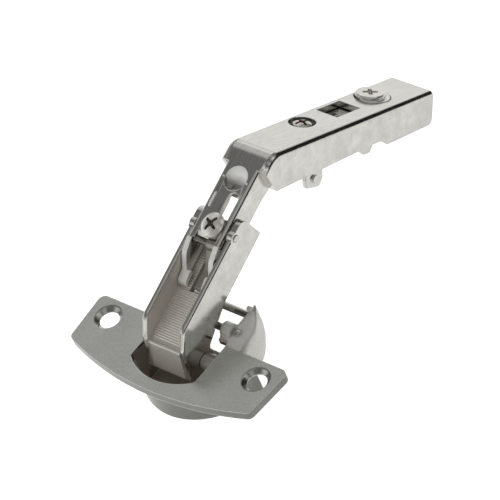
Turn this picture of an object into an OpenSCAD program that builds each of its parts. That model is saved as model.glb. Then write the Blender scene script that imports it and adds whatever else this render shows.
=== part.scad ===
// Concealed cup hinge for folding doors, shown fully open.
// Origin: axis of the cup at the face of the door. X runs along the hinge axis,
// Y towards the edge of the door, Z out of the door.

/* [Cup] */
// Diameter of the cup that sits in the bored hole
cup_d = 35; // [32:0.5:40]
// Depth of the cup below the door face
cup_depth = 10.4; // [9.8:0.1:13]
// Thickness of the cup wall and floor
cup_wall = 1.2; // [0.9:0.1:1.6]
// Clear width of the mouth between the cheeks
mouth_w = 20.8; // [19.6:0.2:21.6]
// Thickness of each cheek beside the mouth
cheek_t = 1.5; // [1.2:0.1:2]
// Reach of the floor behind the cup axis
floor_reach = 3; // [1:0.5:4]

/* [Flange] */
// Length of the screw flange along the hinge axis
flange_len = 60.6; // [58:0.2:68]
// Distance from the cup axis to the front of the flange
flange_front = 20; // [19:0.2:23]
// Radius of the curved front edge of the flange
flange_front_r = 89; // [70:1:120]
// Distance from the cup axis to the straight back edge
flange_back = 0.8; // [0.4:0.1:1.2]
// Height of the flange above the door face
flange_h = 2.3; // [2:0.1:3]
// Sheet thickness of the flange
flange_t = 1.5; // [1.2:0.1:1.8]
// Distance between the two screw holes
screw_spacing = 48; // [44:0.5:52]
// Distance from the cup axis to the line of the screw holes
screw_line = 6; // [5:0.1:9.5]
// Diameter of the screw holes
screw_hole_d = 5.06; // [4:0.02:5.5]
// Diameter of the countersink at the top
screw_sink_d = 7.7; // [7:0.1:9]

/* [Ears] */
// Height of the ears above the door face
ear_h = 4; // [3:0.1:4.4]
// Radius of the ears about the cup axis
ear_r = 15.6; // [15:0.1:16.5]
// Gap between the outer link and the eye on each ear
eye_gap = 0.9; // [0.5:0.1:1.2]
// Radius of the eye that holds the inner link pin
eye_r = 2; // [1.7:0.1:2.3]

/* [Pins] */
// Diameter of the outer link pin
outer_pin_d = 3.2; // [2.6:0.1:3.6]
// Diameter of the inner link pin
inner_pin_d = 1.9; // [1.5:0.1:2.1]
// Diameter of the pin that carries the spring
spring_pin_d = 2; // [1.6:0.1:2.2]
// Diameter of the rivets between link and arm
rivet_d = 1.8; // [1.5:0.1:2]
// Radial clearance where a piece turns on a pin
turn_gap = 0.05; // [0.03:0.01:0.08]
// Radial gap where a pin is pressed and riveted
seat_gap = 0.01; // [0.01:0.005:0.02]
// Radial clearance in the open eye of the inner link
open_eye_gap = 0.42; // [0.38:0.01:0.5]

/* [Outer link] */
// Rise of the open link above the door face, in degrees
link_rise = 20.34; // [18:0.1:22]
// Width of the outer link
link_w = 13.64; // [13:0.02:14.6]
// Sheet thickness of the outer link
link_t = 1.6; // [1.3:0.1:1.8]
// Distance from the lower pin to the top end of the link
link_len = 33; // [31.5:0.1:38]
// Height of the front edges above the lower pin
link_front = 13.05; // [12.8:0.05:13.4]
// Depth of the link walls
link_depth = 8.7; // [8.2:0.1:9.2]
// Depth of the ribbed web below the front edges
web_recess = 5.5; // [5.3:0.1:5.7]
// Distance from one rib of the web to the next
rib_pitch = 0.68; // [0.6:0.02:1]

/* [Inner link] */
// Width of the inner link
inner_w = 4.2; // [3.4:0.1:4.4]
// Distance of its middle from the middle of the hinge
inner_x = 0.95; // [0.8:0.05:1.1]
// Radius of its two eyes
inner_eye_r = 1.75; // [1.6:0.05:1.85]

/* [Arm] */
// Length of the upper arm from the knee to the end
arm_len = 59.7; // [54:0.1:70]
// Width of the upper arm
arm_w = 14.4; // [13.8:0.1:17]
// Sheet thickness of the arm
arm_t = 1.5; // [1.2:0.1:1.6]
// Angle of the knee between tail and upper arm, in degrees
knee_angle = 49.4; // [46:0.1:52]
// Outer radius of the knee
knee_r = 4.6; // [3.5:0.1:6]
// Distance of the knee from the lower link pin
knee_reach = 49.76; // [48.5:0.1:52]
// Height of the arm's tail in front of the link's edges
tail_proud = 0.85; // [0.6:0.05:1.1]
// Gap between the tail and each wall of the link
tail_gap = 0.2; // [0.15:0.05:0.3]
// Height of the arm walls behind the knee
arm_h = 9.4; // [9:0.1:10]
// Height of the arm walls at the far end
arm_end_h = 8.6; // [8.2:0.1:9]

/* [Adjusters] */
// Distance of the adjusters from the middle of the arm
adjust_x = 1.9; // [1.6:0.1:2.1]
// Position of the side screw along the arm
side_screw_at = 20.7; // [19:0.1:22]
// Position of the depth cam along the arm
cam_at = 46; // [44.5:0.1:46.5]
// Diameter of the depth cam's eccentric
cam_d = 8.2; // [7:0.1:8.4]
// Eccentricity of the depth cam
cam_throw = 1.2; // [0.8:0.1:1.3]
// Diameter of the front screw head
front_head_d = 5.8; // [5:0.1:5.9]
// Diameter of the side screw head
side_head_d = 6.2; // [5.5:0.1:6.4]

/* [Hidden] */
$fn = 64;
// half widths
link_out = link_w / 2;
link_in = link_out - link_t;
tail_out = link_in - tail_gap;
tail_in = tail_out - arm_t;
arm_out = arm_w / 2;
arm_in = arm_out - arm_t;
mouth = mouth_w / 2;
cheek_out = mouth + cheek_t;
eye_in = link_out + eye_gap;
// pin centres in the cup's frame: [y, z]
outer_pin = [-5.5, -0.1];
inner_pin = [2.8, 3.3];
spring_pin = [9.4, 1.9];
// pin centres in the link's frame: [along, out]
rivet_at = [28.08, 11.88];
upper_pin = [25.1, 9.58];
upper_pin_d = 1.8;
// full travel of the outer link from open to closed
link_travel = 12;
// levels of the link's web and of the tail, out from the lower pin
web_top = link_front - web_recess;
web_low = web_top - link_t + 0.1;
web_end = 25;
// lower end of the slot in the web
web_slot = 12.95;
tail_front = link_front + tail_proud;
// front screw
front_x = 0.3;
front_at = 28.8;
front_shank_d = 2.4;
screw_shank_d = 3.6;
// clip carriage
carriage_gap = 0.1;
carriage_t = 1.3;
carriage_out = arm_in - carriage_gap;
carriage_in = carriage_out - carriage_t;
carriage_top = -arm_t - 0.3;
carriage_low = carriage_top - carriage_t;
slot_gap = 0.15;
cam_stem_d = 3;
latch_at = [50.2, -6];
latch_pin_d = 2;
steel = [0.78, 0.78, 0.76];
dark_steel = [0.5, 0.5, 0.5];
zinc = [0.68, 0.68, 0.66];

// The corner b of a path rounded with radius r, as a short run of points.
function unit(v) = v / norm(v);
function turned(v, a) = [v[0] * cos(a) - v[1] * sin(a), v[0] * sin(a) + v[1] * cos(a)];
function corner(a, b, c, r, n) =
  let (
    u = unit(a - b),
    v = unit(c - b),
    h = acos(max(-1, min(1, u * v))) / 2,
    m = b + unit(u + v) * (r / sin(h)),
    p = b + u * (r / tan(h)) - m,
    side = (u[0] * v[1] - u[1] * v[0]) > 0 ? -1 : 1
  )
  [for (i = [0 : n]) m + turned(p, side * (180 - 2 * h) * i / n)];

// A closed outline from corners [y, z, radius].
function outline(pts, n = 6) =
  let (k = len(pts))
  [for (i = [0 : k - 1])
    let (
      a = pts[(i + k - 1) % k],
      b = pts[i],
      c = pts[(i + 1) % k]
    )
    each (b[2] > 0
      ? corner([a[0], a[1]], [b[0], b[1]], [c[0], c[1]], b[2], n)
      : [[b[0], b[1]]])];

// A flat outline of the side plane made solid from x0 on.
module slab(x0, wide) {
  translate([x0, 0, 0])
    rotate([90, 0, 90])
      linear_extrude(wide)
        children();
}

// The same on both sides of the hinge.
module pair(x0, wide) {
  slab(x0, wide)
    children();
  slab(-x0 - wide, wide)
    children();
}

// A round bar along X between two positions.
module bar(at, d, x0, x1) {
  translate([x0, at[0], at[1]])
    rotate([0, 90, 0])
      cylinder(h = x1 - x0, d = d);
}

// From the link's frame to the cup's frame.
module on_link() {
  translate([0, outer_pin[0], outer_pin[1]])
    rotate([link_rise, 0, 0])
      children();
}

// From the upper arm's frame to the cup's frame.
module on_arm() {
  on_link()
    translate([0, knee_reach, tail_front])
      rotate([-knee_angle, 0, 0])
        children();
}

// Cross recess of a screw, cut down from its top face.
module cross_recess(size, deep) {
  for (a = [45, 135]) {
    rotate([0, 0, a])
      translate([-size / 2, -size / 8, -deep])
        cube([size, size / 4, deep + 1]);
  }
  translate([0, 0, -deep])
    cylinder(h = deep + 1, d1 = size * 0.2, d2 = size * 0.75);
}

// The outline of the flange, drawn in by the given amount.
module flange_shape(inset) {
  half = flange_len / 2 - inset;
  front = flange_front - inset;
  steps = 16;
  polygon(outline(concat(
    [[half, -flange_back - inset, 1.8]],
    [for (i = [0 : steps])
      let (
        x = (half - 1.2) * (1 - 2 * i / steps),
        y = flange_front_r - front - sqrt(pow(flange_front_r, 2) - x * x)
      )
      [x, y, (i == 0 || i == steps) ? 1.6 : 0]],
    [[-half, -flange_back - inset, 1.8]]
  )));
}

// The mouth in the flange: straight sides, an arc in front and open behind.
module mouth_shape(r) {
  steps = 12;
  edge = mouth;
  polygon(outline(concat(
    [[edge, ear_r, 0]],
    [for (i = [0 : steps])
      let (x = edge * (1 - 2 * i / steps))
      [x, -sqrt(r * r - x * x), (i == 0 || i == steps) ? 1.2 : 0]],
    [[-edge, ear_r, 0]]
  )));
}

// Outer form of both ears: turned about the cup axis and domed on top.
module ear_form(r, top) {
  dome = r - mouth + 0.4;
  intersection() {
    rotate_extrude()
      polygon([
        [0, -cup_depth],
        [r - 2.9, -cup_depth],
        [r - 2, -cup_depth + 1],
        [r - 1.2, -cup_depth + 2.2],
        [r - 0.4, -cup_depth + 5],
        [r, -cup_depth + 8],
        [r, top + 1],
        [0, top + 1]
      ]);
    union() {
      for (side = [-1, 1]) {
        translate([side * mouth, -flange_back - 0.4, top - dome])
          rotate([-90, 0, 0])
            cylinder(h = r + 2, r = dome);
      }
      translate([-r - 1, -flange_back - 0.4, -cup_depth])
        cube([2 * r + 2, r + 2, top - dome + cup_depth]);
    }
  }
}

// Cup, flange and ears, one zinc casting.
module cup() {
  r_out = cup_d / 2;
  r_in = r_out - cup_wall;
  under = flange_h - flange_t;
  color(zinc)
    difference() {
      union() {
        difference() {
          linear_extrude(flange_h)
            flange_shape(0);
          translate([0, 0, -1])
            linear_extrude(under + 1)
              flange_shape(flange_t);
        }
        // wall of the round cup
        difference() {
          translate([0, 0, -cup_depth])
            cylinder(h = cup_depth + under + 0.1, r = r_out);
          translate([0, 0, -cup_depth - 1])
            cylinder(h = cup_depth + 4, r = r_in);
          translate([-r_out - 1, -flange_back, -cup_depth - 1])
            cube([cup_d + 2, cup_d, cup_depth + 4]);
        }
        // floor between the cheeks
        intersection() {
          translate([0, 0, -cup_depth])
            cylinder(h = cup_wall, r = r_out - 0.2);
          translate([-cheek_out, -cup_d, -cup_depth])
            cube([2 * cheek_out, cup_d + floor_reach, cup_wall]);
        }
        // cheeks from the front wall to the ears
        intersection() {
          translate([0, 0, -cup_depth])
            cylinder(h = cup_depth + under + 0.1, r = r_out - 0.3);
          for (side = [-1, 1]) {
            translate([side * (mouth + cheek_t / 2) - cheek_t / 2, -cup_d, -cup_depth])
              cube([cheek_t, cup_d + floor_reach, cup_depth + under + 0.1]);
          }
        }
        // ears, open from below
        difference() {
          ear_form(ear_r, ear_h);
          translate([-mouth, -flange_back - 1, -cup_depth - 1])
            cube([mouth_w, cup_d, cup_depth + 8]);
          intersection() {
            ear_form(ear_r - cup_wall - 0.2, ear_h - 3);
            for (side = [-1, 1]) {
              translate([side * (cheek_out + 5) - 5, -flange_back + 1, -cup_depth - 1])
                cube([10, cup_d, cup_depth + 0.4]);
            }
          }
          // the front of the dome falls to the flange
          translate([0, 2.6, ear_h])
            rotate([26, 0, 0])
              translate([-20, -9, 0])
                cube([40, 9, 6]);
        }
        // eye and curled strip for the inner link pin
        pair(eye_in, mouth - eye_in + 0.1)
          union() {
            translate(inner_pin)
              circle(r = eye_r);
            polygon(outline([
              [-1.2, 0.2, 0.3], [-1.2, 2.2, 0.6], [0.5, 2.9, 0.8],
              [inner_pin[0] - 1, inner_pin[1] + 1.7, 0.3],
              [inner_pin[0] + 1.4, inner_pin[1] - 1.4, 0.4],
              [1.8, 0.4, 0.8]
            ]));
          }
        // small peg on top of each ear
        pair(mouth, 1)
          polygon(outline([
            [9, ear_h - 1.2, 0], [8.8, ear_h + 1.6, 0.3],
            [9.8, ear_h + 1.7, 0.3], [10.1, ear_h - 1.2, 0]
          ], 3));
      }
      // mouth of the cup
      translate([0, 0, -cup_depth + cup_wall])
        linear_extrude(cup_depth)
          mouth_shape(r_in);
      translate([0, 0, -0.1])
        linear_extrude(flange_h + 1)
          intersection() {
            mouth_shape(r_in + 0.5);
            translate([-mouth, -cup_d])
              square([mouth_w, cup_d - flange_back + 0.5]);
          }
      // screw holes with countersinks
      for (side = [-1, 1]) {
        translate([side * screw_spacing / 2, -screw_line, 0]) {
          translate([0, 0, -1])
            cylinder(h = flange_h + 2, d = screw_hole_d);
          translate([0, 0, flange_h - (screw_sink_d - screw_hole_d) / 2])
            cylinder(h = 2, d1 = screw_hole_d, d2 = screw_hole_d + 4);
        }
      }
      // pin bores
      bar(outer_pin, outer_pin_d + 2 * seat_gap, -cheek_out - 1, cheek_out + 1);
      bar(inner_pin, inner_pin_d + 2 * seat_gap, -mouth - 2, mouth + 2);
      bar(spring_pin, spring_pin_d + 2 * seat_gap, -mouth - 1.6, mouth + 1.6);
    }
}

// Pin of the outer link, pressed into both cheeks.
module outer_pivot_pin() {
  color(steel)
    bar(outer_pin, outer_pin_d, -cheek_out, cheek_out);
}

// Pin of the inner link, held in the eyes of both ears.
module inner_pivot_pin() {
  color(steel)
    bar(inner_pin, inner_pin_d, -mouth - 2, mouth + 2);
}

// Pin through both ears that carries the closing spring.
module spring_pin() {
  color(steel)
    bar(spring_pin, spring_pin_d, -mouth - 1.6, mouth + 1.6);
}

// A torsion spring along X: straight leg, coil, straight leg, swept as one wire.
module torsion_spring(at, r_mean, wire, turns, start, x0, leg_in, leg_out) {
  pitch = wire * 1.05;
  steps = 20;
  sides = 10;
  count = ceil(turns * steps);
  coil_path = [for (i = [0 : count])
    let (a = start + 360 * turns * i / count)
    [x0 + pitch * turns * i / count, at[0] + r_mean * cos(a), at[1] + r_mean * sin(a), a]];
  first = coil_path[0];
  last = coil_path[count];
  path = concat(
    [[first[0], first[1] + leg_in * sin(start), first[2] - leg_in * cos(start), start]],
    coil_path,
    [[last[0], last[1] - leg_out * sin(last[3]), last[2] + leg_out * cos(last[3]), last[3]]]
  );
  rings = len(path);
  points = [for (p = path, j = [0 : sides - 1])
    let (
      across = wire / 2 * cos(360 * j / sides),
      out = wire / 2 * sin(360 * j / sides)
    )
    [p[0] + across, p[1] + out * cos(p[3]), p[2] + out * sin(p[3])]];
  skin = [for (i = [0 : rings - 2], j = [0 : sides - 1])
    [i * sides + j, i * sides + (j + 1) % sides,
      (i + 1) * sides + (j + 1) % sides, (i + 1) * sides + j]];
  cap_in = [[for (j = [sides - 1 : -1 : 0]) j]];
  cap_out = [[for (j = [0 : sides - 1]) (rings - 1) * sides + j]];
  polyhedron(points, concat(skin, cap_in, cap_out), convexity = 8);
}

// Torsion spring that pulls the door shut, on its own pin in the cup.
module closing_spring() {
  wire = 0.9;
  color(steel)
    torsion_spring(spring_pin, spring_pin_d / 2 + 0.2 + wire / 2, wire, 4.25, -90,
      -4.6, spring_pin[0] - inner_pin[0] + 1, 4.3);
}

// Spacer bushes between the outer link and the cheeks.
module pivot_bushes() {
  face = 0.1;
  color(dark_steel)
    for (side = [-1, 1]) {
      difference() {
        translate([side * (link_out + mouth) / 2, 0, 0])
          bar(outer_pin, outer_pin_d + 1.4,
            -(mouth - link_out) / 2 + face, (mouth - link_out) / 2);
        bar(outer_pin, outer_pin_d + 2 * seat_gap, -mouth - 1, mouth + 1);
      }
    }
}

// Side wall of the outer link.
module link_wall_shape() {
  low = link_front - link_depth;
  union() {
    polygon(outline([
      [-6.3, 1.2, 0.6],
      [-1.6, web_top + 2, 2.5],
      [2.5, link_front, 3],
      [link_len, link_front, 2.2],
      [link_len, low, 0.5],
      [14.4, low - 0.2, 4],
      [3.4, 1.4, 1.5],
      [2.4, -2.4, 0.5],
      [-2.6, -2.2, 1]
    ]));
    circle(d = outer_pin_d + 3.4);
    translate(rivet_at)
      circle(d = rivet_d + 1.4);
  }
}

// Outer link: a folded channel with a ribbed web between its walls.
module outer_link() {
  arm_of_pin = inner_pin - outer_pin;
  pin_closed = turned(turned(arm_of_pin, -link_rise), link_travel);
  rib_start = 0.2;
  rib_count = floor((web_end - rib_start) / rib_pitch);
  slot_side = 0.25;
  color(steel)
    on_link()
      difference() {
        union() {
          pair(link_in, link_t)
            link_wall_shape();
          slab(-link_in - 0.1, 2 * link_in + 0.2)
            polygon([
              [-6.1, 1.3], [-2, web_top], [web_end, web_top],
              [web_end, web_low], [-1.1, web_low], [-4.9, 0.5]
            ]);
          bar([-1.8, web_top - 0.1], 1.1, -link_in - 0.1, link_in + 0.1);
          for (i = [0 : rib_count - 1]) {
            translate([-link_in - 0.1, rib_start + i * rib_pitch, web_top - 0.1])
              cube([2 * link_in + 0.2, rib_pitch * 0.5, 0.22]);
          }
        }
        // slot in the web for the inner link
        translate([inner_x - inner_w / 2 - slot_side, web_slot, 0])
          cube([inner_w + 2 * slot_side, web_end, link_front]);
        bar([0, 0], outer_pin_d + 2 * turn_gap, -link_out - 1, link_out + 1);
        bar(rivet_at, rivet_d + 2 * turn_gap, -link_out - 1, link_out + 1);
        bar(pin_closed, inner_pin_d + 0.7, -link_out - 1, link_out + 1);
      }
}

// Inner link: a solid lever with an eye at each end.
module inner_link() {
  reach = turned(inner_pin - outer_pin, -link_rise);
  span = upper_pin - reach;
  long = norm(span);
  flat = inner_eye_r - 0.5;
  angle = atan2(span[1], span[0]);
  // hump whose flat back fills the slot in the web
  foot = turned([web_slot + 1, web_top - 3.6] - reach, -angle);
  crest = turned([web_slot + 1, web_top - 0.35] - reach, -angle);
  back = turned([web_slot + 6.6, web_top - 0.35] - reach, -angle);
  color(dark_steel)
    on_link()
      translate([0, reach[0], reach[1]])
        rotate([angle, 0, 0])
          slab(inner_x - inner_w / 2, inner_w)
            difference() {
              union() {
                circle(r = inner_eye_r);
                translate([long, 0])
                  circle(r = inner_eye_r);
                polygon(outline([
                  [0.3, -flat, 0], [3, -2.2, 1.5], [long - 3, -2.2, 1.5],
                  [long - 0.3, -flat, 0], [long - 0.3, flat, 0],
                  [back[0], back[1], 2], [crest[0], crest[1], 0.6],
                  [foot[0], foot[1], 0.4], [3.5, 0.6, 1], [0.3, flat, 0]
                ]));
              }
              circle(d = inner_pin_d + 2 * turn_gap);
              translate([long, 0])
                circle(d = upper_pin_d + 2 * open_eye_gap);
            }
}

// Where the tail widens to the upper arm, in the arm's frame.
shoulder_top = turned([-4.86, 0], knee_angle);
shoulder_low = [1.28, -arm_h - 0.15];

// Side wall of the tail, in the link's frame.
module tail_wall_shape() {
  low = turned(shoulder_low, -knee_angle) + [knee_reach, tail_front];
  polygon(outline([
    [13.6, web_top + 0.45, 0.2],
    [14.2, web_top + 1.7, 0.4],
    [17, web_top + 2.2, 2],
    [20.2, tail_front - 1, 3],
    [24, tail_front, 2],
    [knee_reach - 4.2, tail_front, 0],
    [low[0] + 0.9, low[1] + 0.4, 0],
    [low[0] - 0.4, low[1] + 0.3, 0],
    [40, tail_front - 6.4, 3],
    [web_end + 1.2, tail_front - 6.4, 0.5],
    [web_end + 0.3, web_top + 0.45, 0.3]
  ]));
}

// Side wall of the upper arm, in the arm's frame.
module arm_wall_shape() {
  step_at = arm_len - 18.5;
  polygon(outline([
    [shoulder_top[0] - 0.5, shoulder_top[1] + 0.5, 0.4],
    [0, 0, knee_r],
    [arm_len, 0, 0.3],
    [arm_len, -arm_end_h, 1.4],
    [step_at + 4, -arm_h + 0.2, 4],
    [step_at + 1, -arm_h + 0.4, 0.5],
    [step_at - 1.5, -arm_h + 1.8, 0.5],
    [shoulder_low[0], shoulder_low[1], 0.3]
  ], 10));
}

// Arm: one folded sheet with a narrow tail and a wide upper channel.
module arm() {
  inward = turned([0, -arm_t], knee_angle);
  inner_knee = [-arm_t * tan(knee_angle / 2), -arm_t];
  shoulder = unit(shoulder_low - shoulder_top);
  back = [-shoulder[1], shoulder[0]] * arm_t;
  pocket_d = 6.4;
  key_d = 3.2;
  key_x = 2;
  foot_w = 2.6;
  color(steel)
    difference() {
      union() {
        on_link() {
          pair(tail_in, arm_t)
            tail_wall_shape();
          // broad feet of the two prongs
          pair(tail_out - foot_w, foot_w)
            polygon(outline([
              [13.7, web_top + 0.5, 0], [14.25, web_top + 1.68, 0.3],
              [17, web_top + 2.18, 0], [17.8, web_top + 1.8, 0.5], [17, web_top + 0.9, 0.4]
            ]));
          slab(-tail_out, 2 * tail_out)
            polygon([
              [24.6, tail_front], [knee_reach - 4, tail_front],
              [knee_reach - 4, tail_front - arm_t], [24.6, tail_front - arm_t]
            ]);
          // drawn rim of the round pocket
          translate([0, 41.4, tail_front - 3.4])
            difference() {
              cylinder(h = 3, d = pocket_d + 1.6);
              translate([0, 0, 0.8])
                cylinder(h = 3, d = pocket_d);
            }
        }
        on_arm() {
          pair(arm_in, arm_t)
            arm_wall_shape();
          slab(-arm_out, arm_w)
            polygon(concat(
              [shoulder_top],
              corner(shoulder_top, [0, 0], [arm_len, 0], knee_r, 12),
              [[arm_len, 0], [arm_len, -arm_t]],
              corner([arm_len, -arm_t], inner_knee, shoulder_top + inward, knee_r - arm_t, 12),
              [shoulder_top + inward]
            ));
          pair(tail_in, arm_out - tail_in)
            polygon([shoulder_top, shoulder_low, shoulder_low + back, shoulder_top + back]);
        }
      }
      on_link() {
        // gap around the front screw
        translate([front_x, front_at, web_top + 1])
          cylinder(h = 9, d = front_head_d + 0.7);
        translate([front_x - front_head_d / 2 - 0.35, 20, tail_front - 3])
          cube([front_head_d + 0.7, front_at - 20, 5]);
        // round pocket and keyhole
        translate([0, 41.4, tail_front - 2.6])
          cylinder(h = 4, d = pocket_d);
        translate([key_x, 36.4, tail_front - 3.6])
          cylinder(h = 5, d = key_d);
        translate([key_x - key_d / 2, 31, tail_front - 3.6])
          cube([key_d, 5.4, 5]);
        bar(rivet_at, rivet_d + 2 * seat_gap, -link_in, link_in);
        bar(upper_pin, upper_pin_d + 2 * seat_gap, -link_in, link_in);
      }
      on_arm() {
        // hole over the side screw
        translate([-adjust_x - 0.3, side_screw_at, -arm_t - 1])
          cylinder(h = arm_t + 2, d = side_head_d + 0.7);
        // square window
        translate([-5, 29.2, -arm_t - 1])
          cube([6.7, 8.8, arm_t + 2]);
        // slot of the depth cam
        for (x = [0, cam_throw + 0.1]) {
          translate([x - adjust_x, cam_at, -arm_t - 1])
            cylinder(h = arm_t + 2, d = cam_d + 2 * slot_gap);
        }
        translate([-adjust_x, cam_at - cam_d / 2 - slot_gap, -arm_t - 1])
          cube([cam_throw + 0.1, cam_d + 2 * slot_gap, arm_t + 2]);
      }
    }
}

// Two short rivets that join the tail to the walls of the outer link.
module link_rivets() {
  color(steel)
    on_link()
      for (side = [-1, 1]) {
        x = side > 0 ? tail_in : -link_out - 0.3;
        bar(rivet_at, rivet_d, x, x + link_out + 0.3 - tail_in);
      }
}

// Pin at the upper end of the inner link, pressed into the walls of the tail.
module inner_link_pin() {
  color(steel)
    on_link()
      bar(upper_pin, upper_pin_d, -tail_out, tail_out);
}

// Pan head screw in the tail.
module front_screw() {
  head_h = 2.3;
  head_low = tail_front + 0.25 - head_h;
  color(steel)
    on_link()
      translate([front_x, front_at, 0])
        difference() {
          union() {
            translate([0, 0, head_low])
              cylinder(h = head_h - 1, d = front_head_d);
            translate([0, 0, head_low + head_h - 1])
              cylinder(h = 1, d1 = front_head_d, d2 = front_head_d - 2);
            translate([0, 0, tail_front - 7.2])
              cylinder(h = head_low - tail_front + 7.3, d = front_shank_d);
          }
          translate([0, 0, head_low + head_h])
            cross_recess(front_head_d * 0.62, 1.6);
        }
}

// Small threaded plate under the head, held between the walls of the tail.
module front_screw_plate() {
  color(dark_steel)
    on_link()
      difference() {
        translate([-tail_in, front_at - 1.5, tail_front - 5.2])
          cube([2 * tail_in, 4.4, 1.8]);
        translate([front_x, front_at, 0])
          cylinder(h = 2 * tail_front, d = front_shank_d + 2 * turn_gap);
      }
}

// Clip carriage: an inner channel that carries the adjusters and the hooks.
module clip_carriage() {
  front = 12;
  rear = arm_len - 6;
  wall_low = -arm_end_h + 0.8;
  color(steel)
    on_arm()
      difference() {
        union() {
          translate([-carriage_out, front, carriage_low])
            cube([2 * carriage_out, rear - front, carriage_t]);
          pair(carriage_in, carriage_t)
            union() {
              polygon(outline([
                [front, carriage_low + carriage_t, 0.5],
                [rear, carriage_low + carriage_t, 0.5],
                [rear, wall_low, 1],
                [front, wall_low, 1]
              ]));
              // front hook plate
              polygon(outline([
                [13.8, wall_low + 1, 0],
                [13.8, -11.4, 0.5],
                [14.3, -13.4, 0.6],
                [19, -14, 0.9],
                [20.1, -12, 0.8],
                [19.6, wall_low + 1, 0]
              ]));
              // guide tabs
              polygon(outline([
                [34.2, wall_low + 1, 0], [34.2, -9.4, 0.3], [35.4, -10.6, 0.4],
                [37.8, -10.6, 0.5], [38.6, -9.2, 0.5], [38.6, wall_low + 1, 0]
              ]));
              polygon(outline([
                [42.4, wall_low + 1, 0], [42.4, -9, 0.4], [44.6, -10.4, 0.5],
                [47.8, -10.2, 0.5], [48.2, wall_low + 1, 0]
              ]));
            }
          pair(carriage_out - 0.2, 0.8)
            translate([16.9, -11.4])
              circle(d = 2);
        }
        translate([-adjust_x - 0.3, side_screw_at, carriage_low - 1])
          cylinder(h = carriage_t + 2, d = side_head_d + 0.5);
        translate([-3.9, 30.4, carriage_low - 1])
          cube([4.6, 6.4, carriage_t + 2]);
        translate([-adjust_x, cam_at, carriage_low - 1])
          cylinder(h = carriage_t + 2, d = cam_stem_d + 2 * turn_gap);
        bar(latch_at, latch_pin_d + 2 * seat_gap, -arm_in, arm_in);
      }
}

// Side screw with its cross recess under the hole in the arm.
module side_screw() {
  top = carriage_top;
  color(steel)
    on_arm()
      translate([-adjust_x - 0.3, side_screw_at, 0])
        difference() {
          union() {
            translate([0, 0, top - 1.8])
              cylinder(h = 1.8, d = side_head_d);
            translate([0, 0, -arm_h - 1.2])
              cylinder(h = arm_h + 0.5 + top, d = screw_shank_d);
          }
          translate([0, 0, top])
            cross_recess(side_head_d * 0.62, 1.4);
        }
}

// Threaded plate for the side screw, staked between the carriage walls.
module side_screw_plate() {
  color(dark_steel)
    on_arm()
      difference() {
        translate([-carriage_in, side_screw_at - 3.4, carriage_low - 3.4])
          cube([2 * carriage_in, 6.8, 1.6]);
        translate([-adjust_x - 0.3, side_screw_at, -arm_h])
          cylinder(h = arm_h, d = screw_shank_d + 2 * turn_gap);
      }
}

// Depth cam: head, eccentric and a stem that is riveted through the carriage.
module depth_cam() {
  head_low = 0.1;
  color(steel)
    on_arm()
      translate([-adjust_x, cam_at, 0])
        difference() {
          union() {
            translate([0, 0, head_low])
              cylinder(h = 0.6, d = cam_d - 0.4);
            translate([0, 0, head_low + 0.6])
              cylinder(h = 0.4, d1 = cam_d - 0.4, d2 = cam_d - 1);
            translate([cam_throw, 0, carriage_top + 0.05])
              cylinder(h = head_low - carriage_top - 0.05, d = cam_d);
            translate([0, 0, carriage_low - 1.4])
              cylinder(h = arm_t + 1.4, d = cam_stem_d);
          }
          translate([0, 0, head_low + 1])
            cross_recess(3.8, 1.3);
        }
}

// Washer under the riveted end of the cam's stem.
module cam_washer() {
  color(dark_steel)
    on_arm()
      translate([-adjust_x, cam_at, carriage_low - 0.9])
        difference() {
          cylinder(h = 0.8, r = carriage_in - adjust_x - 0.1);
          translate([0, 0, -1])
            cylinder(h = 3, d = cam_stem_d + 2 * seat_gap);
        }
}

// Spring-loaded latch lever at the rear end of the carriage.
module latch_lever() {
  half = carriage_in - 0.3;
  color(dark_steel)
    on_arm()
      difference() {
        slab(-half, 2 * half)
          union() {
            translate(latch_at)
              circle(r = 1.9);
            polygon(outline([
              [latch_at[0] - 1.9, latch_at[1], 0], [latch_at[0] - 1.5, -9.4, 0.4],
              [latch_at[0] - 3, -10.6, 0.3], [latch_at[0] - 2.2, -11.4, 0.3],
              [latch_at[0] + 0.8, -10.8, 0.6], [latch_at[0] + 1.6, -8.2, 1],
              [arm_len - 1.6, -6.4, 0.8], [arm_len - 1.4, -3.6, 0.6],
              [arm_len - 2.8, -3.8, 0.5], [arm_len - 3.4, -4.9, 0.5],
              [latch_at[0] + 1.2, latch_at[1] + 1.4, 0.5]
            ]));
          }
        bar(latch_at, latch_pin_d + 2 * turn_gap, -arm_in, arm_in);
        // room for the spring
        translate([-1.7, latch_at[0] - 2.2, latch_at[1] - 2.2])
          cube([3.4, 4.6, 5]);
      }
}

// Pin of the latch lever, pressed into the walls of the carriage.
module latch_pin() {
  color(steel)
    on_arm()
      bar(latch_at, latch_pin_d, -carriage_out, carriage_out);
}

// Torsion spring on the latch pin, one leg under the carriage top.
module latch_spring() {
  wire = 0.5;
  color(steel)
    on_arm()
      torsion_spring(latch_at, latch_pin_d / 2 + 0.1 + wire / 2, wire, 5.5, 0, -1.45, 2, 2);
}

cup();
outer_pivot_pin();
inner_pivot_pin();
spring_pin();
closing_spring();
pivot_bushes();
outer_link();
inner_link();
arm();
link_rivets();
inner_link_pin();
front_screw();
front_screw_plate();
clip_carriage();
side_screw();
side_screw_plate();
depth_cam();
cam_washer();
latch_lever();
latch_pin();
latch_spring();
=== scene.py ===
import math
import bpy
import bmesh
from mathutils import Matrix, Vector


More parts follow.
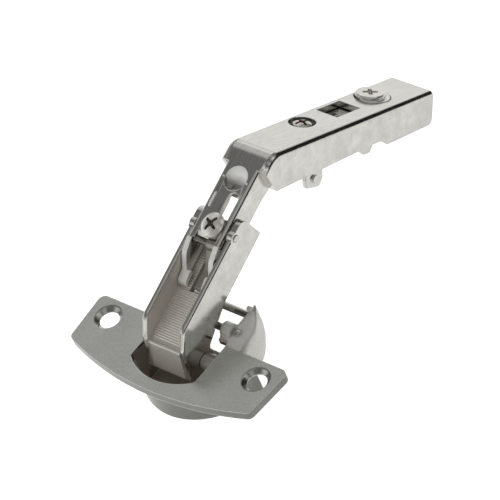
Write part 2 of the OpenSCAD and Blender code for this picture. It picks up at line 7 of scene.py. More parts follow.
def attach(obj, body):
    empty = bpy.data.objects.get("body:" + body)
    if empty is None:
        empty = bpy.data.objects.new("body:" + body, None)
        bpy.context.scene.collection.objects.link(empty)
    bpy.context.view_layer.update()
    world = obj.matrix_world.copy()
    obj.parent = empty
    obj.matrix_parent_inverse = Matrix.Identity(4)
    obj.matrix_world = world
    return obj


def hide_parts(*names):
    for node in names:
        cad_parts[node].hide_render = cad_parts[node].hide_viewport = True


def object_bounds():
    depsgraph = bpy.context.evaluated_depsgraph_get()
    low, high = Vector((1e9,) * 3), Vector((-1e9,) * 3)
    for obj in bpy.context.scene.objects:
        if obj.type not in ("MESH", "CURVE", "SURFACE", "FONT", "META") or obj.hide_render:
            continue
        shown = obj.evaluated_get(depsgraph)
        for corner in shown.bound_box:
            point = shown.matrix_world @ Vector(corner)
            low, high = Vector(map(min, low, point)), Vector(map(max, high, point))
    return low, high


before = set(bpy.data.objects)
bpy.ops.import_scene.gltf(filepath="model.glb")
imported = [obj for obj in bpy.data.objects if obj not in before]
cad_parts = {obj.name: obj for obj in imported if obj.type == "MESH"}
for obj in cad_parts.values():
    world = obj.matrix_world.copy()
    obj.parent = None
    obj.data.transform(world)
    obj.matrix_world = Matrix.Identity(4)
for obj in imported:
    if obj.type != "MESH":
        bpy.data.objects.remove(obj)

cad_box = [list(corner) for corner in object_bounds()]
MM = 0.001  # one millimetre in the metres of the shared frame


# Camera. It stands where the photograph was taken from: 56 degrees to the right
# of the front and 44 degrees up, rolled so that the flange runs down to the
# right, with a long lens that hardly narrows the far end.
def placed(name, data):
    """A new object in the scene."""
    thing = bpy.data.objects.new(name, data)
    bpy.context.scene.collection.objects.link(thing)
    return thing


camera_at = Vector((513.13, -323.49, 601.69)) * MM
towards = Vector((0.5972, -0.4041, 0.6929)).normalized()
across = Vector((0.7457, 0.5979, -0.2940))
across = (across - towards * across.dot(towards)).normalized()
upward = towards.cross(across)
lens = bpy.data.cameras.new("camera")
lens.sensor_width = 36
lens.lens = 256.33
lens.clip_start = 0.05
camera = placed("camera", lens)
turn = Matrix((across, upward, towards)).transposed()
camera.matrix_world = Matrix.Translation(camera_at) @ turn.to_4x4()
bpy.context.scene.camera = camera
bpy.context.scene.view_settings.view_transform = "Standard"


# Studio. A white horizon under a dark ceiling, as metal is lit for a catalogue:
# faces that look at the horizon turn pale and those that look up stay grey.
# Round soft reflectors brighten single faces and bends.
def linear(code):
    """An sRGB hex colour as linear red, green, blue and alpha."""
    parts = [int(code[i:i + 2], 16) / 255 for i in (1, 3, 5)]
    return [c / 12.92 if c <= 0.04045 else ((c + 0.055) / 1.055) ** 2.4 for c in parts] + [1]


def add(tree, kind, settings=None, links=None):
    """Adds one node with its settings; links go from a socket into one of its inputs."""
    node = tree.nodes.new(kind)
    for key, value in (settings or {}).items():
        if isinstance(key, int) or key in node.inputs:
            node.inputs[key].default_value = value
        else:
            setattr(node, key, value)
    for key, socket in (links or {}).items():
        tree.links.new(socket, node.inputs[key])
    return node


world = bpy.data.worlds.new("studio")
bpy.context.scene.world = world
world.use_nodes = True
sky = world.node_tree
sky.nodes.clear()
direction = add(sky, "ShaderNodeTexCoord").outputs["Generated"]
height = add(sky, "ShaderNodeSeparateXYZ", links={0: direction}).outputs["Z"]
level = add(sky, "ShaderNodeMapRange",
            {"interpolation_type": "SMOOTHSTEP", "From Min": 0.1, "From Max": 0.55,
             "To Min": 0.9, "To Max": 0.25}, {"Value": height}).outputs[0]


def reflector(centre, inner, outer, strength):
    """A round reflector about one direction, full within inner degrees and gone at outer."""
    aim = Vector(centre).normalized()
    dot = add(sky, "ShaderNodeVectorMath", {"operation": "DOT_PRODUCT", 1: aim}, {0: direction})
    return add(sky, "ShaderNodeMapRange",
               {"interpolation_type": "SMOOTHSTEP", "From Min": math.cos(math.radians(outer)),
                "From Max": math.cos(math.radians(inner)), "To Min": 0, "To Max": strength},
               {"Value": dot.outputs["Value"]}).outputs[0]


for centre, inner, outer, strength in (
        ((-0.6, 0.46, 0.65), 8, 26, 0.6),    # flange
        ((0.69, 0.45, 0.58), 7, 19, 0.9),    # rounded folds on the right
        ((0.3, 0.43, 0.86), 6, 19, 0.8),     # upper part of those folds
        ((0.6, -0.25, 0.76), 8, 20, 0.5),    # domes that face the camera
        ((0.12, -0.22, 0.97), 4, 13, 0.45),  # screw heads
        ((-0.6, 0.7, 0.38), 3, 11, 0.7),     # bend of the knee
        ((-0.6, 0.8, 0.03), 3, 13, 0.45),    # top of the arm
        ((-0.6, -0.68, 0.42), 8, 24, 0.6)):  # sloping foot of the link
    level = add(sky, "ShaderNodeMath", {"operation": "ADD"},
                {0: level, 1: reflector(centre, inner, outer, strength)}).outputs[0]
rays = add(sky, "ShaderNodeLightPath")
studio = add(sky, "ShaderNodeBackground", links={"Strength": level})
white = add(sky, "ShaderNodeBackground", {"Strength": 1})
shown = add(sky, "ShaderNodeMixShader", links={
    0: rays.outputs["Is Camera Ray"], 1: studio.outputs[0], 2: white.outputs[0]})
add(sky, "ShaderNodeOutputWorld", links={"Surface": shown.outputs[0]})

# Floor. A sheet of white paper just below the cup. Its glow is low for the light
# that falls on the hinge, higher in mirrors and highest for the camera, so the
# background turns white and the shadow stays.
floor_z = cad_box[0][2] - 0.1 * MM
floor_reach = 1.5
floor_mesh = bpy.data.meshes.new("floor")
floor_mesh.from_pydata(
    [(x * floor_reach, y * floor_reach, floor_z) for x, y in ((-1, -1), (1, -1), (1, 1), (-1, 1))],
    [], [(0, 1, 2, 3)])
floor = placed("floor", floor_mesh)
paper = bpy.data.materials.new("white_paper")
paper.use_nodes = True
tree = paper.node_tree
tree.nodes.clear()
rays = add(tree, "ShaderNodeLightPath")
mirrored = add(tree, "ShaderNodeMath", {"operation": "MAXIMUM"},
               {0: rays.outputs["Is Glossy Ray"],
                1: rays.outputs["Is Transmission Ray"]}).outputs[0]
mirror_glow = add(tree, "ShaderNodeMath", {"operation": "MULTIPLY_ADD", 1: 0.32, 2: 0.3},
                  {0: mirrored}).outputs[0]
glow_level = add(tree, "ShaderNodeMath", {"operation": "MULTIPLY_ADD", 1: 0.55},
                 {0: rays.outputs["Is Camera Ray"], 2: mirror_glow}).outputs[0]
fibre = add(tree, "ShaderNodeTexNoise", {"Scale": 400, "Detail": 3},
            {"Vector": add(tree, "ShaderNodeTexCoord").outputs["Object"]}).outputs[0]
tone = add(tree, "ShaderNodeMix",
           {"data_type": "RGBA", "A": linear("#F4F4F2"), "B": linear("#EFEFED")},
           {"Factor": fibre}).outputs["Result"]
matt = add(tree, "ShaderNodeBsdfDiffuse", links={"Color": tone})
glow = add(tree, "ShaderNodeEmission", links={"Strength": glow_level})
both = add(tree, "ShaderNodeAddShader", links={0: matt.outputs[0], 1: glow.outputs[0]})
add(tree, "ShaderNodeOutputMaterial", links={"Surface": both.outputs[0]})
floor_mesh.materials.append(paper)

# Black card. A low curved screen of black velvet that stands round the hinge's
# right side, from below the camera to the back. It draws the dark lines along the
# folded edges; the camera doesn't see it.
card_radius = 0.45
card_top = 0.29
card_panels = 16
card_points = []
for step in range(card_panels + 1):
    angle = math.radians(-35 + 135 * step / card_panels)
    for z in (floor_z, card_top):
        card_points.append((card_radius * math.cos(angle), card_radius * math.sin(angle), z))
card_mesh = bpy.data.meshes.new("black_card")
card_mesh.from_pydata(card_points, [], [(2 * i, 2 * i + 2, 2 * i + 3, 2 * i + 1)
                                        for i in range(card_panels)])
card = placed("black_card", card_mesh)
card.visible_camera = False
velvet = bpy.data.materials.new("black_velvet")
velvet.use_nodes = True
velvet_shader = velvet.node_tree.nodes["Principled BSDF"]
velvet_shader.inputs["Base Color"].default_value = linear("#141414")
velvet_shader.inputs["Roughness"].default_value = 0.95
card_mesh.materials.append(velvet)


# Lamps. Two weak soft boxes, overhead and in front, for the shaded faces and the
# soft shadow. They leave no mirror image in the metal.
def soft_box(name, side, power, place):
    """A square lamp that is aimed at the hinge."""
    lamp = bpy.data.lights.new(name, "AREA")
    lamp.size = side
    lamp.energy = power
    holder = placed(name, lamp)
    holder.location = place
    holder.visible_glossy = False
    aim = Vector((0, 0.03, 0)) - holder.location
    holder.rotation_euler = aim.to_track_quat("-Z", "Y").to_euler()


soft_box("overhead_lamp", 0.5, 0.7, (-0.25, 0.1, 0.7))
soft_box("front_softbox", 0.35, 1.3, (-0.15, -0.6, 0.42))


# Cup, flange and ears. One die casting in zinc, tumbled and nickel-plated, that is
# pressed into the door's bore and held by two screws through the flange. It is a
# soft grey with a fine sandy grain and paler edges, partly worn and partly a painted highlight.
def metal(name, colour, shade, rough, grain, depth, edge, stretch=(1, 1, 1), fold=0.25, metallic=1):
    """Nickel-plated metal: grain along one way, slow clouds in the plate, paler edges of wear and
    painted highlight.

    grain and depth give the grain's scale and relief in millimetres, edge the strength of the
    pale rim, partly wear and partly a painted highlight, and fold the softness of the edges,
    in millimetres or as a function of the place.
    """
    made = bpy.data.materials.new(name)
    made.use_nodes = True
    tree = made.node_tree
    tree.nodes.clear()
    place = add(tree, "ShaderNodeTexCoord").outputs["Object"]
    drawn = add(tree, "ShaderNodeMapping", {"Scale": stretch}, {"Vector": place}).outputs[0]
    streaks = add(tree, "ShaderNodeTexNoise",
                  {"Scale": 1000 / grain, "Detail": 4, "Roughness": 0.6},
                  {"Vector": drawn}).outputs[0]
    cloud_mm = 9
    cloud = add(tree, "ShaderNodeTexNoise", {"Scale": 1000 / cloud_mm, "Detail": 2},
                {"Vector": place}).outputs[0]
    pale_rim_mm = 0.45
    edge_wear_and_highlight = add(tree, "ShaderNodeBevel", {"samples": 6, "Radius": pale_rim_mm * MM})
    if callable(fold):
        soft = add(tree, "ShaderNodeBevel", {"samples": 6}, {"Radius": fold(tree, place)})
    else:
        soft = add(tree, "ShaderNodeBevel", {"samples": 6, "Radius": fold * MM})
    flat = add(tree, "ShaderNodeNewGeometry").outputs["Normal"]
    turned = add(tree, "ShaderNodeVectorMath", {"operation": "DOT_PRODUCT"},
                 {0: edge_wear_and_highlight.outputs[0], 1: flat}).outputs["Value"]
    # Pale rim on the edges: partly wear, partly a painted highlight; the metal turns half diffuse
    # there so the edge shows as a thin bright line.
    rim = add(tree, "ShaderNodeMapRange",
              {"From Min": 1, "From Max": 0.85, "To Min": 0, "To Max": edge},
              {"Value": turned}).outputs[0]
    tint = add(tree, "ShaderNodeMix",
               {"data_type": "RGBA", "A": linear(colour), "B": linear(shade)},
               {"Factor": cloud}).outputs["Result"]
    fleck = add(tree, "ShaderNodeMapRange",
                {"From Min": 0.3, "From Max": 0.7, "To Min": 0.84, "To Max": 1.06},
                {"Value": streaks}).outputs[0]
    tint = add(tree, "ShaderNodeVectorMath", {"operation": "SCALE"},
               {0: tint, "Scale": fleck}).outputs[0]
    tint = add(tree, "ShaderNodeMix", {"data_type": "RGBA", "B": linear("#F1F0EB")},
               {"Factor": rim, "A": tint}).outputs["Result"]
    gloss = add(tree, "ShaderNodeMapRange", {"From Min": 0.3, "From Max": 0.7,
                "To Min": rough - 0.04, "To Max": rough + 0.05}, {"Value": streaks}).outputs[0]
    relief = add(tree, "ShaderNodeBump", {"Strength": 0.35, "Distance": depth * MM},
                 {"Height": streaks, "Normal": soft.outputs[0]}).outputs[0]
    metallic_at_pale_rim = add(tree, "ShaderNodeMapRange", {"To Min": metallic, "To Max": metallic * 0.3},
               {"Value": rim}).outputs[0]
    skin = add(tree, "ShaderNodeBsdfPrincipled", None,
               {"Metallic": metallic_at_pale_rim, "Base Color": tint, "Roughness": gloss, "Normal": relief})
    add(tree, "ShaderNodeOutputMaterial", links={"Surface": skin.outputs[0]})
    return made


def welded(mesh, gap, flat=0):
    """Joins points that lie within gap, and faces that bend by less than flat radians."""
    work = bmesh.new()
    work.from_mesh(mesh)
    bmesh.ops.remove_doubles(work, verts=work.verts, dist=gap)
    if flat:
        bmesh.ops.dissolve_limit(work, angle_limit=flat, verts=work.verts, edges=work.edges)
    work.to_mesh(mesh)
    work.free()


def applied(piece):
    """Turns the modifiers of a piece into its mesh."""
    ready = piece.evaluated_get(bpy.context.evaluated_depsgraph_get())
    done = bpy.data.meshes.new_from_object(ready)
    piece.modifiers.clear()
    piece.data = done


def finished(node, material, bevel, body, angle=28, second=(), number=None,
             cutters=()):
    """A copy of a CAD piece with broken edges, which stands for it.

    The cutters are taken off it first. bevel is the width of the broken edges in
    millimetres and angle the least bend that counts as an edge. number gives a face
    the number of its material: 0 for material, 1 and up for those of second.
    """
    piece = placed(node + "_finished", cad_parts[node].data.copy())
    welded(piece.data, 1e-7)
    for cutter in cutters:
        tool = placed("tool", cutter)
        cut = piece.modifiers.new("cut", "BOOLEAN")
        cut.object = tool
        cut.solver = "MANIFOLD"
        applied(piece)
        bpy.data.objects.remove(tool)
    welded(piece.data, 0.015 * MM, math.radians(0.6))
    piece.data.materials.clear()
    piece.data.materials.append(material)
    if bevel:
        edge = piece.modifiers.new("edge", "BEVEL")
        edge.width = bevel * MM
        edge.segments = 2
        edge.limit_method = "ANGLE"
        edge.angle_limit = math.radians(angle)
        edge.use_clamp_overlap = False
        applied(piece)
    piece.data.shade_smooth()
    piece.data.set_sharp_from_angle(angle=math.radians(angle))
    for other in second:
        piece.data.materials.append(other)
    if second:
        for face in piece.data.polygons:
            face.material_index = number(face.center / MM, face.normal)
    even = piece.modifiers.new("even", "WEIGHTED_NORMAL")
    even.keep_sharp = True
    applied(piece)
    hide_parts(node)
    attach(piece, body)
    return piece


def ear_fold(tree, place):
    """Softer edges on the ears than on flange and cup."""
    parts = add(tree, "ShaderNodeSeparateXYZ", links={0: place})
    return add(tree, "ShaderNodeMapRange",
               {"From Min": 2 * MM, "From Max": 3.5 * MM, "To Min": 0.3 * MM, "To Max": 0.5 * MM},
               {"Value": parts.outputs["Z"]}).outputs[0]


def part_of_cup(point, normal):
    """Number 1 for faces inside the cup, 2 for the ears, 3 for outer walls, 0 for the rest."""
    screw_x, screw_y, screw_seat = 24, -6, 4.2
    radius = math.hypot(point.x, point.y)
    outward = normal.x * point.x + normal.y * point.y > 0.5 * radius
    upright = abs(normal.z) < 0.6
    if point.z < 0.4 and radius < 16.5 and normal.z > -0.5 and not outward:
        return 1
    if point.z > 2.7 or outward and radius < 15.9 and point.y > -1:
        return 2
    if upright and radius > 11 and (radius > 16.6 or outward) \
            and math.hypot(abs(point.x) - screw_x, point.y - screw_y) > screw_seat:
        return 3
    return 0


# Sandy, half matt grey of the flange.
zinc_nickel = metal("nickel_on_cast_zinc", "#C2C3BE", "#AEAFAA",
                    rough=0.24, grain=0.8, depth=0.0002, edge=1, fold=ear_fold)
# Painted shade: a warm, dull copy for the faces inside the cup, where the light comes in late.
shaded_zinc = metal("nickel_inside_the_cup_painted_shade", "#C4B9AE", "#AFA59B",
                    rough=0.42, grain=0.3, depth=0.004, edge=0.2, metallic=0.4)
# Painted highlight: a pale, half matt copy for the domed ears, with wide soft edges.
highlit_ear_zinc = metal("nickel_on_the_ears_painted_highlight", "#EDECE7", "#DEDDD8",
                      rough=0.38, grain=0.4, depth=0.002, edge=0.3, fold=1.3, metallic=0.45)
# Painted shade: a darker copy for the rim of the flange and the wall of the drum, with a bright
# edge that is partly wear and partly a painted highlight.
shaded_wall_zinc = metal("nickel_on_the_outer_walls_painted_shade", "#858580", "#6F6F6B",
                  rough=0.22, grain=0.5, depth=0.001, edge=1, fold=0.3)
finished("cup", zinc_nickel, 0, "cup_body", angle=32,
         second=(shaded_zinc, highlit_ear_zinc, shaded_wall_zinc), number=part_of_cup)

# Pivot and spring pins. Drawn steel rod, cut to length, plated bright and pressed
# into the bores of the ears.
# Fine drawn lines run along the rod, with clear bright reflections.
bright_pin = metal("bright_nickel_on_drawn_steel", "#CFCEC8", "#C2C1BB",
                   rough=0.2, grain=0.4, depth=0.002, edge=0.3, stretch=(0.1, 1, 1))
for pin in ("outer_pivot_pin", "inner_pivot_pin", "spring_pin"):
    finished(pin, bright_pin, 0.1, "cup_body")

# Spacer bushes and closing spring. Turned steel sleeves on the outer pivot keep the
# link in the middle; the spring is coiled from round wire and hangs on its own pin.
# Half dull grey with an oil film.
oiled_steel = metal("oiled_steel", "#B5B2AC", "#9F9B95",
                    rough=0.35, grain=0.4, depth=0.004, edge=0.5, metallic=0.5)
finished("pivot_bushes", oiled_steel, 0.1, "cup_body")
# Even, darker wire without plating.
spring_wire = metal("drawn_spring_wire", "#A7A5A0", "#8F8D88",
                    rough=0.24, grain=0.3, depth=0.003, edge=0.2)
finished("closing_spring", spring_wire, 0, "cup_body", angle=50)

# Outer link. A channel folded from 1.6 mm sheet steel, satin nickel-plated, that
# swings on the outer pivot pin. Its folds are rounded outside and inside.
link_rise = math.radians(20.34)
link_along = Vector((0, math.cos(link_rise), math.sin(link_rise)))
link_out = Vector((0, -math.sin(link_rise), math.cos(link_rise)))
link_pin = Vector((0, -5.5, -0.1))
link_front = 13.05
wall_outside, wall_inside = 6.82, 5.22


def link_place(point):
    """Position along the link and out of it, in millimetres."""
    return (point - link_pin).dot(link_along), (point - link_pin).dot(link_out)


def on_link(x, along, out):
    """A point given along the link and out of it, in millimetres."""
    return Vector((x, 0, 0)) + link_pin + link_along * along + link_out * out


def walk(corners):
    """Points and outward directions along an outline in the link's plane.

    Each corner is (along, out, radius); a corner with a radius is rounded in eight steps.
    """
    places = []
    for i, (along, out, radius) in enumerate(corners):
        here = Vector((along, out))
        before = (here - Vector(corners[i - 1][:2])).normalized() if i else None
        after = (Vector(corners[i + 1][:2]) - here).normalized() if i + 1 < len(corners) else before
        before = before or after
        bend = before.angle_signed(after) if radius else 0
        start = here - before * radius * math.tan(abs(bend) / 2)
        for k in range(9 if radius else 1):
            angle = -abs(bend) * k / 8
            way = Vector((-before.y * math.cos(angle) - before.x * math.sin(angle),
                          before.x * math.cos(angle) - before.y * math.sin(angle)))
            spot = start + (way - Vector((-before.y, before.x))) * radius
            places.append((on_link(0, spot.x, spot.y), link_along * way.x + link_out * way.y))
    return places


def edge_cutter(work, places, edge_x, size, sense):
    """Adds prisms that leave a rounded edge of that size on both sides, edge_x from the middle.

    sense is 1 for an outer edge and -1 for an inner one.
    """
    past_side, past_top, skin = 0.6, 1.2, 0.01
    profile = [(past_side, past_top), (past_side, -size), (skin, -size)]
    profile += [(-size + (size + skin) * math.cos(math.radians(a)),
                 -size + (size + skin) * math.sin(math.radians(a))) for a in range(12, 90, 13)]
    profile += [(-size, skin), (-size, past_top)]
    for side in (-1, 1):
        rows = [[work.verts.new((at + way * out + Vector((side * (edge_x + sense * x), 0, 0))) * MM)
                 for x, out in profile] for at, way in places]
        for one, two in zip(rows, rows[1:]):
            for i in range(len(profile)):
                work.faces.new((one[i - 1], one[i], two[i], two[i - 1]))
        work.faces.new(rows[0])
        work.faces.new(rows[-1][::-1])


def cutter_mesh(work, name):
    """The finished tool, with its faces turned outward."""
    bmesh.ops.recalc_face_normals(work, faces=work.faces)
    mesh = bpy.data.meshes.new(name)
    work.to_mesh(mesh)
    work.free()
    return mesh


def in_channel(point, normal):
    """Number 1 for faces between the walls of the link."""
    along, out = link_place(point)
    between = out > 7 and (abs(normal.x) > 0.5 or out < 8)
    return int(abs(point.x) < 5.4 and (between or along < 0.5))


# Clean satin sheet with long grain and clear reflections of the studio.
sheet_nickel = metal("satin_nickel_on_sheet_steel", "#D3D2CD", "#C6C5C0",
                     rough=0.16, grain=0.35, depth=0.003, edge=0.5, stretch=(1, 0.12, 0.12))
# Warmer and duller between the walls, scored by the embossing tool.
ribbed_nickel = metal("nickel_on_embossed_web", "#DCD7CF", "#CBC6BE",
                      rough=0.34, grain=0.25, depth=0.004, edge=0.2, stretch=(0.3, 1, 1),
                      fold=0.2, metallic=0.55)
rolled = bmesh.new()
edge_cutter(rolled, walk([(-5.6, 2.44, 0), (-1.6, 9.55, 2.5), (2.5, link_front, 3),
                          (26.6, link_front, 0)]), wall_outside, 0.75, 1)
edge_cutter(rolled, walk([(-2.1, 8.66, 0), (2.5, link_front, 3), (26.6, link_front, 0)]),
            wall_inside, 0.7, -1)
finished("outer_link", sheet_nickel, 0, "outer_link_body",
         second=(ribbed_nickel,), number=in_channel, cutters=(cutter_mesh(rolled, "rolled_edges"),))

# Ribs. Fine cross ribs embossed in the link's web, over its full width below the
# slot of the inner link and on both sides of that slot above.
rib_pitch, rib_height, rib_steps = 0.62, 0.17, 10
rib_foot = 7.65
rib_points, rib_faces = [], []
for x_from, x_to, first, last in ((-5.21, 5.21, -0.4, 12.9), (-5.21, -1.42, 12.9, 24.9),
                                  (3.33, 5.21, 12.9, 24.9)):
    count = round((last - first) / rib_pitch * rib_steps)
    for i in range(count + 1):
        along = first + (last - first) * i / count
        wave = 0.5 - 0.5 * math.cos(2 * math.pi * (along - first) / rib_pitch)
        for x in (x_from, x_to):
            rib_points.append(on_link(x, along, rib_foot + rib_height * wave) * MM)
        if i:
            n = len(rib_points)
            rib_faces.append((n - 4, n - 3, n - 1, n - 2))


def pressed(name, points, faces, material):
    """A smooth surface of its own that lies on a sheet."""
    mesh = bpy.data.meshes.new(name)
    mesh.from_pydata(points, [], faces)
    mesh.materials.append(material)
    mesh.shade_smooth()
    return placed(name, mesh)


ribs = pressed("embossed_ribs", rib_points, rib_faces, ribbed_nickel)
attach(ribs, "outer_link_body")

# Inner link. A stamped steel lever with an eye at each end, between cup and arm,
# most of it hidden by the outer link.
# Grainy nickel with pale edges, partly worn and partly a painted highlight, in a darker tone that
# paints the shade of the walls.
link_steel = metal("nickel_on_the_inner_link", "#B9B6AF", "#A19E97",
                   rough=0.3, grain=0.4, depth=0.006, edge=0.6, fold=0.5, metallic=0.8)
finished("inner_link", link_steel, 0.15, "inner_link_body")

# Arm. One sheet of 1.5 mm steel, cut, drawn and folded: the narrow tail with its two
# prongs and the drawn pocket, the knee and the wide upper channel.
tail_front = 13.9
arm_out = Vector((0, 0.48571, 0.87412))
arm_along = Vector((0, 0.87412, -0.48571))
knee_at = 49.76
knee = on_link(0, knee_at, tail_front)
pocket_at, pocket_radius = 41.4, 3.2


def on_prong(point, normal):
    """Number 1 for the faces of the two prongs, pale from their sheared edges and a painted
    highlight.
    """
    along, out = link_place(point)
    return int(along < 24.5 and abs(point.x) < 5.2)


# The pocket runs out in a slope towards the knee.
scoop = bmesh.new()
round_steps = 48
rims = []
for out in (15.5, 11.35):
    shift = (out - tail_front) * 1.54
    angles = [2 * math.pi * i / round_steps for i in range(round_steps)]
    rims.append([scoop.verts.new(on_link(pocket_radius * math.sin(angle),
                                         pocket_at + shift + pocket_radius * math.cos(angle),
                                         out) * MM) for angle in angles])
for i in range(round_steps):
    scoop.faces.new((rims[0][i - 1], rims[0][i], rims[1][i], rims[1][i - 1]))
scoop.faces.new(rims[0][::-1])
scoop.faces.new(rims[1])
tail_edges = bmesh.new()
edge_cutter(tail_edges, walk([(24.4, tail_front, 0), (44.85, tail_front, 0)]), 5.02, 1, 1)
arm_edges = bmesh.new()
edge_cutter(arm_edges, walk([(44.66, tail_front, 0), (knee_at, tail_front, 4.6),
                             (90.11, -33.17, 0)]), 7.2, 1.35, 1)
# Like the link's sheet, a touch softer.
arm_nickel = metal("satin_nickel_on_the_arm", "#D3D2CD", "#C6C5C0",
                   rough=0.17, grain=0.35, depth=0.003, edge=0.5, stretch=(1, 0.12, 0.12))
# Pale matt copy for the prongs and the bead: the sheared edges as the shears leave them, and a
# painted highlight.
sheared_and_highlit_nickel = metal("nickel_on_sheared_edge_and_painted_highlight", "#EFEEE9", "#E2E1DC",
                       rough=0.45, grain=0.3, depth=0.004, edge=0.2, metallic=0.25)
finished("arm", arm_nickel, 0, "arm_body",
         second=(sheared_and_highlit_nickel,), number=on_prong,
         cutters=(cutter_mesh(scoop, "scoop"), cutter_mesh(tail_edges, "tail_edges"),
                  cutter_mesh(arm_edges, "arm_edges")))

# Wall of the pocket. It stands out almost white, a painted highlight for the bright reflection in
# its drawn wall.
highlit_pocket_nickel = metal("nickel_in_the_pocket_painted_highlight", "#FFFFFC", "#F3F2EE",
                         rough=0.3, grain=0.3, depth=0.002, edge=0, stretch=(4, 1, 1),
                         fold=0.1, metallic=0.1)
wall_steps = 24
wall_radius = pocket_radius + 0.01
just_below = tail_front - 0.02
wall_depth, wall_slope = 2.6, 4.0
wall_points = []
for k in range(2):
    for i in range(wall_steps + 1):
        angle = math.radians(-100 + 200 * i / wall_steps)
        wall_points.append(on_link(wall_radius * math.sin(angle),
                                   pocket_at - wall_slope * k + wall_radius * math.cos(angle),
                                   just_below - wall_depth * k) * MM)
wall_faces = [(i, i + 1, i + wall_steps + 2, i + wall_steps + 1) for i in range(wall_steps)]
shell = pressed("scoop_wall", wall_points, wall_faces, highlit_pocket_nickel)
thick = shell.modifiers.new("thick", "SOLIDIFY")
thick.thickness = 0.7 * MM
thick.offset = 1
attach(shell, "arm_body")

# Bead. A short rib embossed beside the keyhole, which stiffens the tail.
bead_x, bead_from = -3.35, 32.6
bead_half, bead_height, bead_length = 0.42, 0.3, 4.2
bead_points = []
for i in range(13):
    t = i / 12
    half = bead_half * math.sqrt(max(0.02, 1 - (2 * t - 1) ** 6))
    for k in range(7):
        angle = math.pi * k / 6
        rise = bead_height * half / bead_half * math.sin(angle)
        bead_points.append(on_link(bead_x - half * math.cos(angle), bead_from + bead_length * t,
                                   just_below + rise) * MM)
bead_faces = [(7 * i + k, 7 * i + k + 1, 7 * i + k + 8, 7 * i + k + 7)
              for i in range(12) for k in range(6)]
# The bead takes the pale sheared-edge copy, which paints a highlight along it.
bead = pressed("embossed_bead", bead_points, bead_faces, sheared_and_highlit_nickel)
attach(bead, "arm_body")

# Rivets and upper pin. Two steel rivets join the tail to the walls of the outer
# link; the pin sits in the tail and carries the inner link.
finished("link_rivets", bright_pin, 0.12, "arm_body")
finished("inner_link_pin", bright_pin, 0.1, "arm_body")


# Front screw and its plate. A pan head machine screw with a cross recess, plated
# bright, turns in a threaded steel plate behind the tail.
def cross_head(name, centre, axis, along, size, rise, arm, body, power=2.6, skirt=0.9):
    """A domed screw head with a cross recess, pressed down into the dome.

    size is the head's diameter, rise the height of its dome, arm the reach of the cross
    from the middle and skirt the height of the rim, all in millimetres.
    """
    def part(value):
        return max(0, min(1, value))

    side = along.cross(axis)
    rings, spokes = 34, 128
    slot_width, slot_taper, slot_slope, end_slope = 0.21, 0.05, 0.12, 0.18
    bowl, bowl_slope, deepest, rising = 0.42, 0.2, 1.5, 0.55
    points, faces, deep = [], [], []
    for ring in range(rings + 1):
        r = size / 2 * ring / rings
        for spoke in range(spokes):
            angle = 2 * math.pi * spoke / spokes
            u, v = r * math.cos(angle), r * math.sin(angle)
            near, far = min(abs(u), abs(v)), max(abs(u), abs(v))
            width = slot_width * arm - slot_taper * far
            wall = part((width - near) / slot_slope) * part((arm - far) / end_slope)
            wall = max(wall, part((bowl * arm - r) / bowl_slope))
            sink = wall * (deepest - rising * far / arm)
            dome = rise * (1 - (2 * r / size) ** power)
            points.append((centre + along * u + side * v + axis * (dome - sink)) * MM)
            deep.append(sink > 0.12)
    for spoke in range(spokes):
        angle = 2 * math.pi * spoke / spokes
        rim = (along * math.cos(angle) + side * math.sin(angle)) * size / 2
        points.append((centre + rim - axis * skirt) * MM)
        deep.append(False)
    shaded_faces = []
    for ring in range(rings + 1):
        for spoke in range(spokes):
            a, b = ring * spokes + spoke, ring * spokes + (spoke + 1) % spokes
            faces.append((a, b, b + spokes, a + spokes))
            shaded_faces.append(deep[a] or deep[b])
    # Faces deep in the cross take the painted brown shade.
    head = pressed(name, points, faces, bright_screw)
    head.data.materials.append(recess_shade_nickel)
    for face, shaded_face in zip(head.data.polygons, shaded_faces):
        face.material_index = int(shaded_face)
    head.data.set_sharp_from_angle(angle=math.radians(40))
    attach(head, body)


# The brightest metal here, with fine even grain.
bright_screw = metal("bright_nickel_on_screw_steel", "#F0EEE8", "#DFDCD5",
                     rough=0.2, grain=0.3, depth=0.002, edge=0.5, fold=0.2, metallic=0.6)
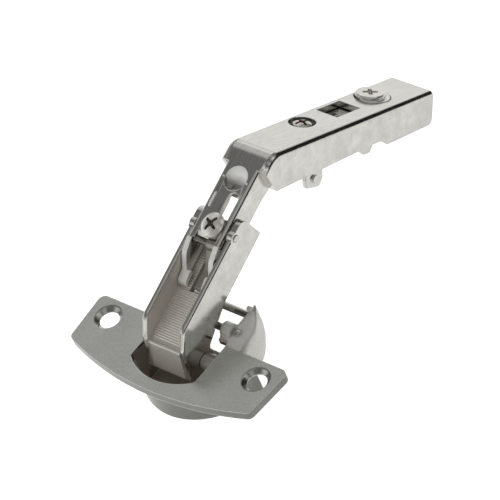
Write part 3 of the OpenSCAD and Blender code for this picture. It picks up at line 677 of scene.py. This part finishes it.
# Painted brown shade deep in the cross.
recess_shade_nickel = metal("nickel_in_the_recess_painted_shade", "#8F7560", "#6B5544",
                      rough=0.4, grain=0.3, depth=0.004, edge=0, fold=0.1, metallic=0.3)
finished("front_screw", bright_screw, 0.1, "front_screw_body")
cross_head("front_screw_dome", on_link(0.3, 28.8, 14.1), link_out,
           (link_along * 0.9 + Vector((0.44, 0, 0))).normalized(), size=6.3, rise=0.95, arm=2.0,
           body="front_screw_body")
# Dull and darker, the plain steel of hidden parts.
dark_steel = metal("dull_nickel_on_steel", "#8B8985", "#7A7874",
                   rough=0.33, grain=0.4, depth=0.004, edge=0.4)
finished("front_screw_plate", dark_steel, 0.1, "arm_body")

# Clip carriage. A folded sheet channel inside the arm, with the hooks and tabs that
# snap on the mounting plate. It slides along the arm for the depth.
finished("clip_carriage", sheet_nickel, 0.12, "carriage_body")

# Side screw and its plate. A screw in the carriage, set from above through the hole
# in the arm's top; its head fills that hole.
finished("side_screw_plate", dark_steel, 0.1, "carriage_body")
finished("side_screw", bright_screw, 0.1, "side_screw_body")
side_head = knee + arm_along * 20.7 + Vector((-2.2, 0, 0)) - arm_out * 0.35
cross_head("side_screw_dome", side_head, arm_out, (arm_along + Vector((0.3, 0, 0))).normalized(),
           size=4.74, rise=0.6, arm=1.9, body="side_screw_body", skirt=1.7)

# Depth cam and its washer. A turned head with an eccentric in the slot of the arm;
# its stem is riveted over the washer below the carriage.
finished("depth_cam", bright_screw, 0.1, "cam_body")
# Painted shade: dark brown steel, as the slot below the cam's head looks in its shade.
shaded_brown_steel = metal("brown_steel_painted_shade", "#7C6E62", "#5F544B",
                    rough=0.35, grain=0.4, depth=0.004, edge=0.2)
finished("cam_washer", shaded_brown_steel, 0.08, "cam_body")

# Latch. The release lever at the rear end is stamped steel, turns on its pin in the
# carriage and is pushed back by a small wire spring.
finished("latch_lever", dark_steel, 0.15, "latch_body")
finished("latch_pin", bright_pin, 0.1, "carriage_body")
finished("latch_spring", spring_wire, 0, "carriage_body", angle=50)
